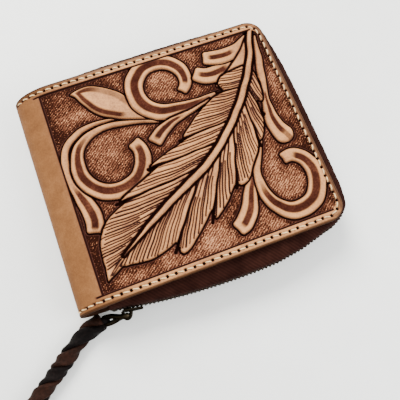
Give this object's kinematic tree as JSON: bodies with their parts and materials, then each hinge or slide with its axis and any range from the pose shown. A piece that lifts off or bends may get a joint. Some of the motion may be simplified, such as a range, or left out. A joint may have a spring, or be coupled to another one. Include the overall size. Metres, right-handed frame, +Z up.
{
  "type": "zip-around bifold wallet",
  "caption": "Zip-around bifold wallet in hand-tooled leather with a feather and scroll design, inner pockets and a twisted leather strap on the zip pull.",
  "frame": {"origin": "under the middle of the closed wallet, on the surface it lies on, strap left out", "axes": "+Z up through the tooled front cover; X across the wallet, spine on the -X side; Y along the spine, slider on the -Y side"},
  "size_m": [0.1687, 0.1904, 0.021],
  "materials": {
    "tooled_leather": "vegetable-tanned, tooled, antiqued and waxed",
    "natural_leather": "vegetable-tanned, oiled",
    "pocket_leather": "thin split leather",
    "lining_leather": "thin pigskin lining",
    "waxed_thread": "waxed thread",
    "zip_tape": "woven tape",
    "zip_teeth": "blackened",
    "antique_bronze": "antique plated, worn",
    "dark_leather": "oiled thong"
  },
  "bodies": {
    "back_half": {"back_cover": "natural_leather", "back_lining": "lining_leather", "back_stitching": "waxed_thread", "banknote_pocket_panel": "pocket_leather", "back_card_pocket_lower": "pocket_leather", "back_card_pocket_upper": "pocket_leather", "lower_zip_tape": "zip_tape", "lower_zip_teeth": "zip_teeth", "back_top_stop": "antique_bronze", "zip_bottom_stop": "antique_bronze"},
    "front_half": {"front_cover": "tooled_leather", "front_lining": "lining_leather", "front_stitching": "waxed_thread", "front_card_pocket_back": "pocket_leather", "front_card_pocket_middle": "pocket_leather", "front_card_pocket_top": "pocket_leather", "upper_zip_tape": "zip_tape", "upper_zip_teeth": "zip_teeth", "front_top_stop": "antique_bronze"},
    "slider": {"zip_slider": "antique_bronze"},
    "pull": {"zip_pull": "antique_bronze", "strap": "dark_leather", "strap_loop": "dark_leather", "strap_knot": "dark_leather", "strap_tail_left": "dark_leather", "strap_tail_right": "dark_leather"}
  },
  "joints": [
    {"name": "cover_open", "type": "hinge", "parent": "back_half", "child": "front_half", "pos_m": [-0.06115, 0, 0.0105], "axis": [0, -1, 0], "range_deg": [0, 176]},
    {"name": "slider_run", "type": "hinge", "parent": "back_half", "child": "slider", "pos_m": [0.0107, 0.241, 0.0105], "axis": [0, 0, 1], "range_deg": [0, 13]},
    {"name": "pull_swing", "type": "hinge", "parent": "slider", "child": "pull", "pos_m": [-0.04311, -0.05304, 0.0105], "axis": [0, 0, 1], "range_deg": [0, 110]}
  ]
}
